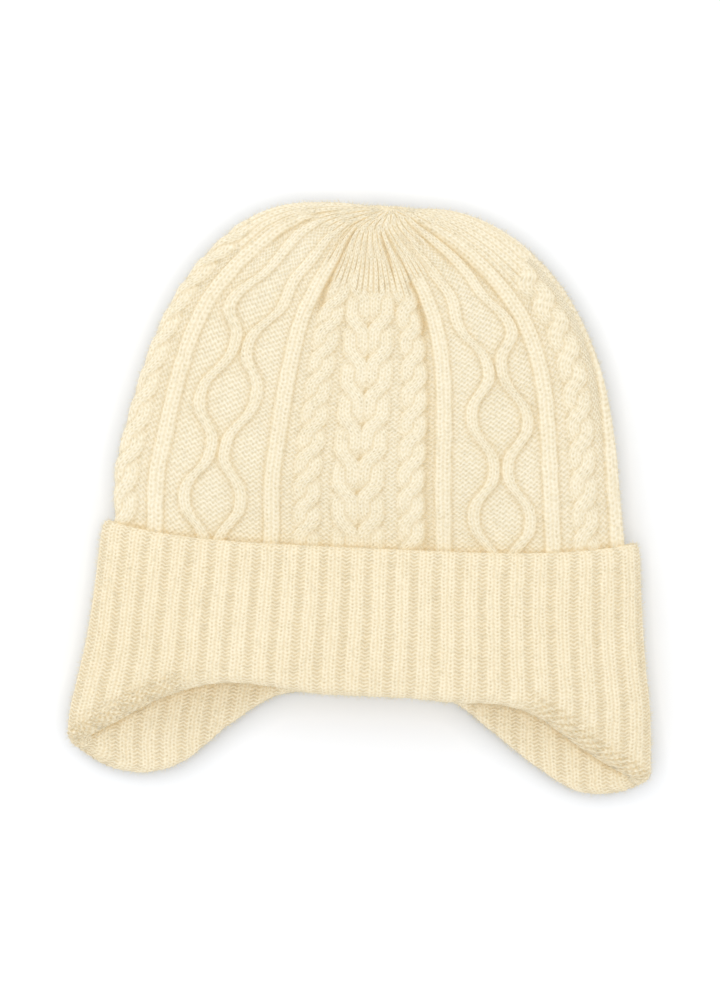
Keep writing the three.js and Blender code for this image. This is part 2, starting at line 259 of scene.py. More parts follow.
@dataclass
class CuffShape:
    """The outer face of the cuff and flaps, in millimetres."""

    height: float = 60.0
    half_width: float = 109.4
    thickness: float = 28.0
    wall: float = 3.8
    side_rise: float = 6.5
    join_height: float = 20.0
    layer_gap: float = 0.9
    tucked_relief: float = 0.6
    crown_wall: float = 3.0
    flap_drop: float = 38.0
    flap_reach: float = 128.0
    rest_sink: float = 0.7
    seam_gap: float = 0.3

    # height's share of the cuff, of the flap's drop; left and right of the half width; over
    SECTIONS = (
        (0, 1.1, 1.09, 1.08, 0.56),
        (0, 0.5, 1.104, 1.073, 0.74),
        (0, 0, 1.075, 1.057, 0.93),
        (0.25, 0, 1.05, 1.035, 0.985),
        (0.65, 0, 1.025, 1.01, 1),
        (1.15, 0, 1.004, 0.99, 0.985),
    )
    # way from the side fold, negative over the front, as a share of the reach; drops left, right
    EDGE = (
        (-0.8, 0, 0),
        (-0.64, -0.06, 0.03),
        (-0.5, -0.08, 0.03),
        (-0.37, 0, 0.14),
        (-0.26, 0.15, 0.38),
        (-0.14, 0.41, 0.63),
        (-0.04, 0.6, 0.79),
        (0.04, 0.74, 0.87),
        (0.12, 0.9, 0.97),
        (0.22, 0.97, 0.97),
        (0.36, 0.83, 0.72),
        (0.52, 0.38, 0.33),
        (0.64, 0.09, 0.06),
        (0.8, 0, 0),
    )

    def __post_init__(self) -> None:
        """Read the tables and measure the hem."""
        heights = [cuff * self.height - flap * self.flap_drop for cuff, flap, *_ in self.SECTIONS]
        self.sections = SmoothTable(heights, [row[2:] for row in self.SECTIONS])
        self.edge = SmoothTable(
            [row[0] * self.flap_reach for row in self.EDGE], [row[1:] for row in self.EDGE]
        )
        self.way = WayRound(self.loop(np.array(0.0)))

    @property
    def top(self) -> float:
        """Height of the free edge at the side folds."""
        return self.height + self.side_rise

    @property
    def tuck(self) -> float:
        """How far inside the cuff's face the crown's face lies."""
        return self.wall + self.layer_gap + self.tucked_relief

    @property
    def doubled(self) -> float:
        """Thickness of the doubled hem."""
        return self.tuck + self.crown_wall

    def loop(self, height: Array) -> FlatLoop:
        """Return the outer face's loops at heights.

        Args:
            height: Heights above the hem.

        Returns:
            One loop for each height.
        """
        height = np.asarray(height, float)
        left, right, over = np.moveaxis(self.sections(height), -1, 0)
        left, right = left * self.half_width, right * self.half_width
        return FlatLoop(
            (right - left) / 2, (left + right) / 2, height, height, height,
            np.full_like(height, -self.rest_sink), over * self.thickness, np.ones_like(height),
        )

    def lower_edge(self, way: Array) -> Array:
        """Return the height of the folded edge at ways round the hem.

        Args:
            way: Ways from the front's middle.

        Returns:
            Heights; the flaps' are negative.
        """
        quarter = self.way.round / 4
        way = np.mod(way, self.way.round)
        reach = self.EDGE[-1][0] * self.flap_reach
        to_right, to_left = way - quarter, 3 * quarter - way
        right = np.where(np.abs(to_right) < reach, self.edge(to_right)[..., 1], 0)
        left = np.where(np.abs(to_left) < reach, self.edge(to_left)[..., 0], 0)
        return -(right + left) * self.flap_drop

    def upper_edge(self, angle: Array) -> Array:
        """Return the height of the free edge at angles round the loop."""
        return self.height + self.side_rise * np.cos(angle) ** 4


@dataclass(frozen=True)
class Place:
    """Places in the pattern: ways from the nearest wheat cable's middle, 1 on its right and -1 on
    its left, knitted heights, and the real width of a millimetre of way, which is less than one
    where the crown is drawn in."""

    near: Array
    side: Array
    knit: Array
    stretch: Array

    @property
    def spread(self) -> Array:
        """How much more way a cable takes here than at the hem."""
        return np.clip(self.stretch, 0.5, 1) ** -0.75

    def by_side(self, values: tuple[float, float]) -> Array:
        """Pick the left or the right one of two values."""
        return np.where(self.side > 0, values[1], values[0])


@dataclass(frozen=True)
class Lay:
    """How one cable lies at many places: its height as a share of the relief, its share of knit,
    the half stitches counted across it and the strand that each place belongs to."""

    lift: Array
    inside: Array
    legs: Array
    strand: Array


@dataclass(frozen=True)
class Cable:
    """A cable at a share of the quarter, the same on the hat's left and right but for a shift."""

    share: float
    width: float
    quarter: float
    shift: float = 0.0
    fan: float = 0.0005

    def off(self, place: Place) -> Array:
        """Return offsets outwards from the cable's middle, in millimetres of its own width.

        Args:
            place: Places in the pattern.

        Returns:
            Offsets.
        """
        fan = 1 + self.fan * np.clip(place.knit - 100, 0, 60)
        middle = (self.share + self.shift * place.side) * self.quarter * fan
        return (place.near - middle) / place.spread

    def lay(self, place: Place, strand: Array | None = None) -> Lay:
        """Lay the cable.

        Args:
            place: Places in the pattern.
            strand: The strand that each place belongs to, where that is known.

        Returns:
            How it lies.
        """
        raise NotImplementedError

    def counts(self, off: Array, lift: Array) -> Lay:
        """Return the lay of a plain strand of two wales."""
        inside = np.clip((1.15 - np.abs(off) / (self.width / 2)) / 0.25, 0, 1)
        return Lay(lift, inside, off / self.width * 4, np.zeros_like(off))


@dataclass(frozen=True)
class Rib(Cable):
    """A straight rib of two wales."""

    def lay(self, place: Place, strand: Array | None = None) -> Lay:
        """Lay the rib; see Cable.lay.

        Args:
            place: Places in the pattern.
            strand: Not used.

        Returns:
            How it lies.
        """
        off = self.off(place)
        share = np.abs(off) / (self.width / 2)
        dome = np.clip(1 - share**3.2, 0, 1) ** 0.75
        return self.counts(off, 0.85 * dome - 0.12 * np.exp(-((off / 0.6) ** 2)))


@dataclass(frozen=True)
class EyeStrand(Cable):
    """One of the two strands that swing apart and meet again, and leave eyes of purl between."""

    outer: int = 1
    gap: float = 0.3
    eye_width: float = 23.0

    # knitted heights at which the two strands meet, left and right
    MEETS = ((16.0, 57.5, 98.0, 141.5, 184.0, 227.0), (13.0, 54.0, 94.5, 135.5, 178.0, 221.0))

    def off(self, place: Place) -> Array:
        """Return offsets outwards from the strand's middle, in millimetres.

        Args:
            place: Places in the pattern.

        Returns:
            Offsets.
        """
        count = range(len(self.MEETS[0]))
        left, right = (np.interp(place.knit, meets, count) for meets in self.MEETS)
        opening = 0.5 - 0.5 * np.cos(2 * math.pi * np.where(place.side > 0, right, left))
        opening = 0.5 * opening + 0.5 * smooth_step(0, 1, opening)
        drawn_in = smooth_step(0.82, 0.55, place.stretch)
        opening = opening * (1 - drawn_in) + 0.42 * drawn_in
        narrow = (self.width + self.gap) / 2
        swing = narrow + (self.eye_width / 2 - narrow) * opening
        return Cable.off(self, place) - self.outer * swing

    def lay(self, place: Place, strand: Array | None = None) -> Lay:
        """Lay the strand; see Cable.lay.

        Args:
            place: Places in the pattern.
            strand: Not used.

        Returns:
            How it lies.
        """
        off = self.off(place)
        share = np.abs(off) / (self.width / 2)
        dome = np.clip(1 - share**2.8, 0, 1) ** 0.8
        return self.counts(off, 0.85 * dome - 0.08 * np.exp(-((off / 0.5) ** 2)))


@dataclass(frozen=True)
class Twist(Cable):
    """Two strands of two wales that cross again and again, towards the same side in front."""

    period: tuple[float, float] = (10.6, 10.6)
    start: tuple[float, float] = (107.0, 107.0)
    span: float = 10.4
    fullness: float = 1.35

    def across(self, place: Place) -> Array:
        """Return offsets towards the side that the front strand goes to."""
        return self.off(place) * place.side

    def edge(self, across: Array) -> Array:
        """Return how the whole twist slopes down to the ground at its edges, from 0 to 1."""
        return np.clip(1 - np.abs(across / (self.width / 2) / 1.14) ** 6, 0, 1) ** 0.5

    def lay(self, place: Place, strand: Array | None = None) -> Lay:
        """Lay the twist; see Cable.lay.

        Args:
            place: Places in the pattern.
            strand: The strand that each place belongs to, where that is known.

        Returns:
            How it lies.
        """
        across = self.across(place)
        period = place.by_side(self.period)
        turns = (place.knit - place.by_side(self.start)) / period
        crossing = np.floor(turns + 0.5) if strand is None else np.floor(strand / 2)
        late = turns - crossing
        swing = 0.26 * self.width * (2 * smooth_step(-0.5, 0.5, late * period / self.span) - 1)
        pressed = np.clip(np.cos(math.pi * late), 0, 1) ** 3
        over = 1 - 0.37 * smooth_step(0, -0.5, late) - 0.26 * smooth_step(0, 0.5, late)
        beneath = 0.36 + 0.38 * smooth_step(-0.12, -0.5, late) + 0.27 * smooth_step(0.12, 0.5, late)
        front = over * self.dome(across - swing, self.fullness + 0.25 * pressed)
        back = beneath * self.dome(across + swing, self.fullness + 0.35 * pressed)
        in_front = front >= back if strand is None else np.mod(strand, 2) > 0.5
        off = np.where(in_front, across - swing, across + swing)
        lift = np.where(in_front, front, back) * self.edge(across)
        strand = 2 * crossing + in_front if strand is None else strand
        return Lay(lift, smooth_step(0.02, 0.2, lift), off / self.width * 8, strand)

    def dome(self, off: Array, wide: Array | float) -> Array:
        """Return the height of a strand's round back, from 0 to 1."""
        return np.clip(1 - np.abs(off / (self.width / 4) / wide) ** 2.3, 0, 1) ** 0.6


@dataclass(frozen=True)
class Wheat(Twist):
    """Half of the wheat cable: a twist whose front strands all go outwards from its middle."""

    def across(self, place: Place) -> Array:
        """Return offsets outwards from the middle of this half."""
        return place.near / place.spread - self.width / 2

    def edge(self, across: Array) -> Array:
        """Return how the outer edge slopes down to the ground, from 0 to 1."""
        return Twist.edge(self, np.maximum(across, 0))


@dataclass
class CablePattern:
    """The crown's cables, from the middle of a wheat cable to the middle of a side rib."""

    quarter: float
    rope_width: float = 10.2
    rib_width: float = 6.8
    strand_width: float = 5.2

    def __post_init__(self) -> None:
        """Set the cables side by side."""
        quarter = self.quarter
        self.cables = (
            Wheat(0.0, 10.2, quarter, period=(13.7, 13.7), start=(109.8, 110.7), span=10.0),
            Twist(0.2, self.rope_width, quarter, 0.005, period=(10.35, 10.75), start=(108.4, 105.6)),
            Rib(0.328, self.rib_width, quarter, -0.001),
            EyeStrand(0.554, self.strand_width, quarter, -0.002, outer=-1),
            EyeStrand(0.554, self.strand_width, quarter, -0.002, outer=1),
            Rib(0.76, self.rib_width, quarter, -0.016),
            Twist(0.888, self.rope_width, quarter, -0.014, period=(12.6, 12.2), start=(105.2, 106.9),
                  span=12.0),
            Rib(1.0, self.rib_width, quarter),
        )


class Graph:
    """A small maker of a material's nodes and links."""

    def __init__(self, name: str) -> None:
        """Start an empty material of that name.

        Args:
            name: The material's name.
        """
        self.material = bpy.data.materials.new(name)
        self.material.use_nodes = True
        self.tree = self.material.node_tree
        self.tree.nodes.clear()

    def node(self, kind: str, **settings: object) -> bpy.types.Node:
        """Add a node and set its properties.

        Args:
            kind: The node's type.
            settings: Its properties.

        Returns:
            The node.
        """
        made = self.tree.nodes.new(kind)
        for name, value in settings.items():
            setattr(made, name, value)
        return made

    def link(self, value: object, socket: Socket) -> None:
        """Feed a socket from another one, or with a constant.

        Args:
            value: A socket, a number or a colour.
            socket: The input.
        """
        if isinstance(value, Socket):
            self.tree.links.new(value, socket)
        elif isinstance(value, tuple):
            socket.default_value = (*value, 1.0)
        else:
            socket.default_value = value

    def maths(self, operation: str, *values: object) -> Socket:
        """Add a Math node and return its result.

        Args:
            operation: What it works out.
            values: Sockets or numbers that it takes.

        Returns:
            The result's socket.
        """
        made = self.node("ShaderNodeMath", operation=operation)
        for value, socket in zip(values, made.inputs):
            self.link(value, socket)
        return made.outputs[0]

    def wave(self, kind: str, value: Socket, turns: float) -> Socket:
        """Return the sine or cosine of a value that makes so many turns a unit."""
        return self.maths(kind, self.maths("MULTIPLY", value, 2 * math.pi * turns))

    def comb(self, value: Socket, turns: float, power: float) -> Socket:
        """Return peaks that repeat with a value, so many a unit, narrower at a higher power."""
        raised = self.maths("MULTIPLY_ADD", self.wave("COSINE", value, turns), 0.5, 0.5)
        return self.maths("POWER", raised, power)

    def parts(self, value: Socket) -> tuple[Socket, ...]:
        """Return the three parts of a vector.

        Args:
            value: The vector's socket.

        Returns:
            Three sockets.
        """
        made = self.node("ShaderNodeSeparateXYZ")
        self.link(value, made.inputs[0])
        return tuple(made.outputs)

    def blend(self, share: object, low: object, high: object) -> Socket:
        """Blend two numbers by a share.

        Args:
            share: How much of the high number there is.
            low: The low number.
            high: The high number.

        Returns:
            The result's socket.
        """
        made = self.node("ShaderNodeMix", data_type="FLOAT")
        for value, socket in zip((share, low, high), (made.inputs[0], made.inputs[2], made.inputs[3])):
            self.link(value, socket)
        return made.outputs[0]

    def mix(self, share: object, low: object, high: object) -> Socket:
        """Blend two colours by a share.

        Args:
            share: How much of the high colour there is.
            low: The low colour.
            high: The high colour.

        Returns:
            The result's socket.
        """
        made = self.node("ShaderNodeMix", data_type="RGBA")
        for value, socket in zip((share, low, high), (made.inputs[0], made.inputs[6], made.inputs[7])):
            self.link(value, socket)
        return made.outputs[2]

    def cloth(self, colour: Socket, roughness: float) -> bpy.types.Node:
        """Add a matt shader of that colour, linked to the material's surface, and return it.

        Args:
            colour: The colour's socket.
            roughness: From 0, shiny, to 1, matt.

        Returns:
            The shader.
        """
        shader = self.node("ShaderNodeBsdfPrincipled")
        self.link(colour, shader.inputs["Base Color"])
        shader.inputs["Roughness"].default_value = roughness
        shader.inputs["Specular IOR Level"].default_value = 0.2
        self.surface(shader)
        return shader

    def surface(self, shader: bpy.types.Node) -> None:
        """Link a shader to the material's surface."""
        output = self.node("ShaderNodeOutputMaterial")
        self.link(shader.outputs["BSDF"], output.inputs["Surface"])

    def noise(self, place: Socket, scale: float, detail: float) -> Socket:
        """Return a noise of that many grains a metre, from 0 to 1.

        Args:
            place: Coordinates in metres.
            scale: Grains in a metre.
            detail: How many finer layers it has.

        Returns:
            The result's socket.
        """
        made = self.node("ShaderNodeTexNoise")
        self.link(place, made.inputs["Vector"])
        made.inputs["Scale"].default_value = scale
        made.inputs["Detail"].default_value = detail
        return made.outputs[0]


@dataclass(frozen=True)
class Wool:
    """Finish of the knitted pieces: colours, with painted shade in the stitches and hollows, how deep
    the stitches go, and a painted glow in its own hollows that stands in for light the wool
    scatters. Grains are counted in a metre."""

    name: str
    ridge: Colour
    ground: Colour
    hollow_shade: Colour
    chevron: float
    contrast: float
    glow: float = 0.18
    glow_reach: float = 0.02
    glow_tint: Colour = (1.0, 0.86, 0.58)
    depth: float = 0.00028
    wander: float = 0.8
    wander_grains: tuple[float, float] = (210.0, 160.0)
    fade_grain: float = 260.0
    fade: tuple[float, float] = (1.7, -0.35)
    fibre_grain: float = 1400.0
    tuft_grain: float = 420.0
    cloud_grain: float = 28.0
    knit_level: float = 0.95
    hole: float = 0.75
    hole_power: float = 1.6
    middle: float = 0.38
    middle_power: float = 4.0
    groove: float = 0.6
    groove_power: float = 3.0
    slant: float = 0.17
    purl_level: float = 0.56
    purl_weave: float = 0.68
    unclear: float = 0.6
    tuft: float = 0.35
    fibre_tone: float = 0.8
    cloud_tone: float = 0.3
    knit_shade: float = 0.1

    def wandering(self, graph: Graph, place: Socket, count: Socket, grain: float) -> Socket:
        """Return a stitch count that wanders a little from place to place."""
        off = graph.maths("SUBTRACT", graph.noise(place, grain, 1.0), 0.5)
        return graph.maths("MULTIPLY_ADD", off, self.wander, count)

    def stitch(self, graph: Graph, place: Socket, knit: Socket, clear: Socket) -> Socket:
        """Shape single stitches: dotted wales on knit, checks and zigzags on purl.

        Args:
            graph: The material's nodes.
            place: Object coordinates.
            knit: 1 on knit stitches and 0 on purl ones.
            clear: How clearly single stitches show.

        Returns:
            The stitches' height, from about 0 to 1.
        """
        stitches = graph.node("ShaderNodeUVMap", uv_map="stitches").outputs["UV"]
        legs, courses, _ = graph.parts(stitches)
        legs = self.wandering(graph, place, legs, self.wander_grains[0])
        courses = self.wandering(graph, place, courses, self.wander_grains[1])
        half = graph.maths("PINGPONG", legs, 1.0)
        slant = graph.wave("COSINE", graph.maths("MULTIPLY_ADD", half, 0.5, courses), 1.0)

        faint = graph.maths("MULTIPLY_ADD", graph.noise(place, self.fade_grain, 2.0), *self.fade)
        middles = graph.comb(graph.maths("ADD", legs, 1.0), 0.5, self.middle_power)
        holes = graph.maths("MULTIPLY", middles, graph.comb(courses, 1.0, self.hole_power))
        holes = graph.maths("MULTIPLY", holes, faint)
        knitted = graph.maths("MULTIPLY_ADD", holes, -self.hole, self.knit_level)
        knitted = graph.maths("MULTIPLY_ADD", middles, -self.middle, knitted)
        grooves = graph.comb(legs, 0.5, self.groove_power)
        knitted = graph.maths("MULTIPLY_ADD", grooves, -self.groove, knitted)
        knitted = graph.maths("MULTIPLY_ADD", slant, self.slant, knitted)

        checks = graph.maths(
            "MULTIPLY", graph.wave("COSINE", courses, 1.0), graph.wave("COSINE", legs, 0.5)
        )
        weave = graph.blend(self.chevron, checks, slant)
        purled = graph.maths("MULTIPLY_ADD", weave, self.purl_weave, self.purl_level)
        return graph.blend(clear, self.unclear, graph.blend(knit, purled, knitted))

    def glowing(self, graph: Graph, shader: bpy.types.Node) -> None:
        """Paint a little warm glow into the wool's hollows with emission, in place of light that passes
        through wool.

        Args:
            graph: The material's nodes.
            shader: The wool's shader.
        """
        # painted light: emission that grows where the wool is hidden from the sky
        hollow = graph.node("ShaderNodeAmbientOcclusion", samples=3, only_local=False)
        hollow.inputs["Distance"].default_value = self.glow_reach
        glow = graph.maths("MULTIPLY_ADD", hollow.outputs["AO"], -self.glow, self.glow)
        graph.link(self.glow_tint, shader.inputs["Emission Color"])
        graph.link(glow, shader.inputs["Emission Strength"])

    def material(self) -> bpy.types.Material:
        """Build the wool's nodes.

        Returns:
            The material.
        """
        graph = Graph(self.name)
        facts = graph.node("ShaderNodeAttribute", attribute_name="knit_facts")
        knit, cavity, clear = graph.parts(facts.outputs["Vector"])
        place = graph.node("ShaderNodeTexCoord").outputs["Object"]
        stitch = self.stitch(graph, place, knit, clear)
        fibre = graph.noise(place, self.fibre_grain, 3.0)
        tuft = graph.noise(place, self.tuft_grain, 2.0)
        cloud = graph.noise(place, self.cloud_grain, 2.0)

        # painted shade between the stitches: their holes and grooves are painted towards the darker
        # colour; the fibre and cloud noise add tone that differs at random
        stitch_shade = graph.maths("MULTIPLY", stitch, self.contrast)
        level = 0.08 - 0.6 * self.contrast
        tone = graph.maths("MULTIPLY_ADD", fibre, self.fibre_tone, stitch_shade)
        tone = graph.maths("ADD", tone, graph.maths("MULTIPLY_ADD", cloud, self.cloud_tone, level))
        purl_shade = graph.maths("MULTIPLY_ADD", knit, -self.knit_shade, self.knit_shade)
        tone = graph.maths("ADD", tone, purl_shade)
        colour = graph.mix(tone, self.ground, self.ridge)
        # painted shade: points that lie deep between their neighbours, in creases, by the cuff's edge
        # and under the folded hem, are painted towards a darker, warmer colour
        colour = graph.mix(cavity, colour, self.hollow_shade)
        shader = graph.cloth(colour, roughness=0.9)
        shader.inputs["Sheen Weight"].default_value = 0.1
        shader.inputs["Sheen Roughness"].default_value = 0.6
        self.glowing(graph, shader)

        height = graph.maths("ADD", fibre, stitch)
        height = graph.maths("MULTIPLY_ADD", tuft, self.tuft, height)
        bump = graph.node("ShaderNodeBump")
        bump.inputs["Strength"].default_value = 1.0
        bump.inputs["Distance"].default_value = self.depth
        graph.link(height, bump.inputs["Height"])
        graph.link(bump.outputs["Normal"], shader.inputs["Normal"])
        return graph.material


CROWN_WOOL = Wool(
    name="cream_cable_wool", ridge=linear(245, 236, 213), ground=linear(223, 207, 170),
    hollow_shade=linear(214, 188, 138), chevron=0.3, contrast=0.85,
)
CUFF_WOOL = Wool(
    name="cream_rib_wool", ridge=linear(245, 234, 207), ground=linear(223, 204, 165),
    hollow_shade=linear(214, 188, 138), chevron=0.6, contrast=1.1, glow=0.21,
)


def as_mesh(mould: bmesh.types.BMesh, name: str) -> bpy.types.Mesh:
    """Turn a finished mould into a mesh.

    Args:
        mould: The mould; it is freed.
        name: The mesh's name.

    Returns:
        The mesh.
    """
    mesh = bpy.data.meshes.new(name)
    mould.to_mesh(mesh)
    mould.free()
    return mesh


def in_scene(name: str, data: bpy.types.ID) -> bpy.types.Object:
    """Put a mesh, light or camera into the scene.

    Args:
        name: The object's name.
        data: What it shows.

    Returns:
        The object.
    """
    made = bpy.data.objects.new(name, data)
    bpy.context.scene.collection.objects.link(made)
    return made


class LoopGrid:
    """A closed sheet of quads over rows of points that run round the head."""

    def __init__(self, name: str, columns: int, rows: int) -> None:
        """Make the plain grid.

        Args:
            name: The piece's name.
            columns: Quads round the loop.
            rows: Quads from the first row to the last.
        """
        self.name = name
        mould = bmesh.new()
        bmesh.ops.create_grid(mould, x_segments=columns, y_segments=rows, size=0.5)
        self.mesh = as_mesh(mould, name)
        count = len(self.mesh.vertices)
        flat = np.empty(count * 3)
        self.mesh.vertices.foreach_get("co", flat)
        flat = flat.reshape(-1, 3)
        span = flat.max(axis=0) - flat.min(axis=0)
        place = (flat - flat.min(axis=0))[:, :2] / span[:2]
        self.column = np.rint(place[:, 0] * columns).astype(int)
        self.row = np.rint(place[:, 1] * rows).astype(int)
        corners = np.empty(len(self.mesh.loops), int)
        self.mesh.loops.foreach_get("vertex_index", corners)
        self.corners = corners.reshape(-1, 4)

    def place(self, points: Array) -> None:
        """Move each vertex to its point.

        Args:
            points: Rows by columns by three, in metres.
        """
        flat = points[self.row, self.column].astype(np.float32).ravel()
        self.mesh.vertices.foreach_set("co", flat)

    def stitches(self, legs: Array, courses: Array) -> None:
        """Lay the map that counts half stitches across and courses along.

        Args:
            legs: Half stitches for every quad's corners, quads by four.
            courses: Courses, quads by four.
        """
        layer = self.mesh.uv_layers.new(name="stitches")
        layer.data.foreach_set("uv", np.stack([legs, courses], axis=-1).astype(np.float32).ravel())

    def at_corners(self, field: Array) -> Array:
        """Return the values of a field, rows by columns, at every quad's corners."""
        return field[self.row, self.column][self.corners]

    def facts(self, knit: Array, cavity: Array, clear: Array) -> None:
        """Keep what the wool's finish reads at each vertex.

        Args:
            knit: 1 on knit stitches and 0 on purl ones, rows by columns.
            cavity: How deep a point lies between its neighbours, which the wool paints as shade.
            clear: How clearly single stitches show.
        """
        layer = self.mesh.attributes.new("knit_facts", "FLOAT_COLOR", "POINT")
        parts = [part[self.row, self.column] for part in (knit, cavity, clear)]
        values = np.stack([*parts, np.ones_like(parts[0])], axis=-1)
        layer.data.foreach_set("color", values.astype(np.float32).ravel())

    def finish(self, wool: Wool) -> bpy.types.Object:
        """Weld the seam and the poles.

        Args:
            wool: The piece's finish.

        Returns:
            The smooth piece.
        """
        mould = bmesh.new()
        mould.from_mesh(self.mesh)
        bmesh.ops.remove_doubles(mould, verts=mould.verts, dist=1e-7)
        mould.to_mesh(self.mesh)
        mould.free()
        self.mesh.shade_smooth()
        self.mesh.materials.append(wool.material())
        return in_scene(self.name, self.mesh)


def outward(points: Array) -> Array:
    """Find the normals of a grid of points that runs round a loop.

    Args:
        points: Rows by columns by three; the last column repeats the first.

    Returns:
        Unit normals, on the side from which the rows rise to the left of the columns.
    """
    ring = np.concatenate([points[:, -2:-1], points, points[:, 1:2]], axis=1)
    across = ring[:, 2:] - ring[:, :-2]
    along = np.gradient(points, axis=0)
    normal = np.cross(across, along)
    length = np.linalg.norm(normal, axis=-1, keepdims=True)
    return normal / np.maximum(length, 1e-9)


def settled(points: Array, softness: float = 0.12) -> Array:
    """Let points rest on the floor instead of passing below it, in millimetres.

    Args:
        points: Points in a last axis of three, in millimetres.
        softness: How gently they come to rest.

    Returns:
        The rested points.
    """
    rested = points.copy()
    rested[..., 2] = softness * np.logaddexp(0, points[..., 2] / softness)
    return rested


@dataclass
class Fuzz:
    """Loose fibres that stand out of a knitted face: thin spikes with three sides. Lengths are in
    millimetres and the lean off the face's normal in degrees."""

    STARTS = 3

    seed: int
    doublings: int = 14
    thickness: tuple[float, float] = (0.05, 0.09)
    length: tuple[float, float] = (1.2, 3.2)
    lean: tuple[float, float] = (20.0, 82.0)
    sunk: float = 0.2
    flat_share: float = 0.6
    softness: float = 0.04
    dark: Colour = linear(238, 226, 194)
    light: Colour = linear(249, 243, 224)
    grain: float = 300.0

    def spikes(self, name: str) -> tuple[bpy.types.Mesh, Array, Array]:
        """Make three spikes and double them again and again.

        Args:
            name: The piece's name.

        Returns:
            The mesh, the numbers of each spike's vertices, spikes by four, and their places.
        """
        mould = bmesh.new()
        for _ in range(self.STARTS):
            bmesh.ops.create_cone(mould, cap_ends=True, segments=3, radius1=1, radius2=0, depth=1)
        for _ in range(self.doublings):
            bmesh.ops.duplicate(mould, geom=[*mould.verts, *mould.edges, *mould.faces])
        mesh = as_mesh(mould, name)
        flat = np.empty(len(mesh.vertices) * 3)
        mesh.vertices.foreach_get("co", flat)
        sides = np.empty(len(mesh.loops), int)
        mesh.loops.foreach_get("vertex_index", sides)
        sides = sides.reshape(-1, 3)
        spike = np.arange(len(mesh.vertices))
        for _ in range(sides.shape[1]):
            np.minimum.at(spike, sides, spike[sides].min(axis=1, keepdims=True))
        numbers = np.argsort(spike, kind="stable").reshape(-1, 4)
        return mesh, numbers, flat.reshape(-1, 3)[numbers]

    def build(self, name: str, points: Array, shift: Array) -> bpy.types.Object:
        """Make the fibres of one face.

        Args:
            name: The piece's name.
            points: The face's points, rows by columns by three, in the hat's own millimetres.
            shift: From the hat's own space to the frame.

        Returns:
            The piece.
        """
        mesh, numbers, corners = self.spikes(name)
        chance = np.random.default_rng(self.seed)
        count = len(corners)
        across, along = np.diff(points, axis=1)[:-1], np.diff(points, axis=0)[:, :-1]
        area = np.cross(across, along)
        share = np.linalg.norm(area[..., :2], axis=-1) + self.flat_share * np.abs(area[..., 2])
        cell = chance.choice(share.size, count, p=share.ravel() / share.sum())
        row, column = np.unravel_index(cell, across.shape[:2])
        up, right = chance.random((2, count, 1))
        root = points[row, column] + along[row, column] * up + across[row, column] * right
        normal = outward(points)[row, column]

        tangent = np.cross(normal, chance.normal(size=(count, 3)))
        tangent /= np.linalg.norm(tangent, axis=-1, keepdims=True)
        lean = np.radians(chance.uniform(*self.lean, (count, 1)))
        line = normal * np.cos(lean) + tangent * np.sin(lean)
        first = np.cross(line, normal + 0.3 * tangent)
        first /= np.linalg.norm(first, axis=-1, keepdims=True)
        second = np.cross(line, first)
        thickness = chance.uniform(*self.thickness, (count, 1))
        length = chance.uniform(*self.length, (count, 1))
        axes = np.stack([first * thickness, second * thickness, line * length], axis=1)
        middle = root + line * (length / 2) - normal * self.sunk
        spikes = settled(middle[:, None] + corners @ axes, self.softness)
        places = np.empty((numbers.size, 3), np.float32)
        places[numbers] = (spikes + shift) * MM

        mesh.vertices.foreach_set("co", places.ravel())
        mesh.shade_smooth()
        mesh.materials.append(self.material(f"{name}_fibre"))
        return in_scene(name, mesh)

    def material(self, name: str) -> bpy.types.Material:
        """Build the fibres' nodes.

        Args:
            name: The material's name.

        Returns:
            The material.
        """
        graph = Graph(name)
        place = graph.node("ShaderNodeTexCoord").outputs["Object"]
        tone = graph.noise(place, self.grain, 1.0)
        graph.cloth(graph.mix(tone, self.dark, self.light), roughness=0.8)
        return graph.material


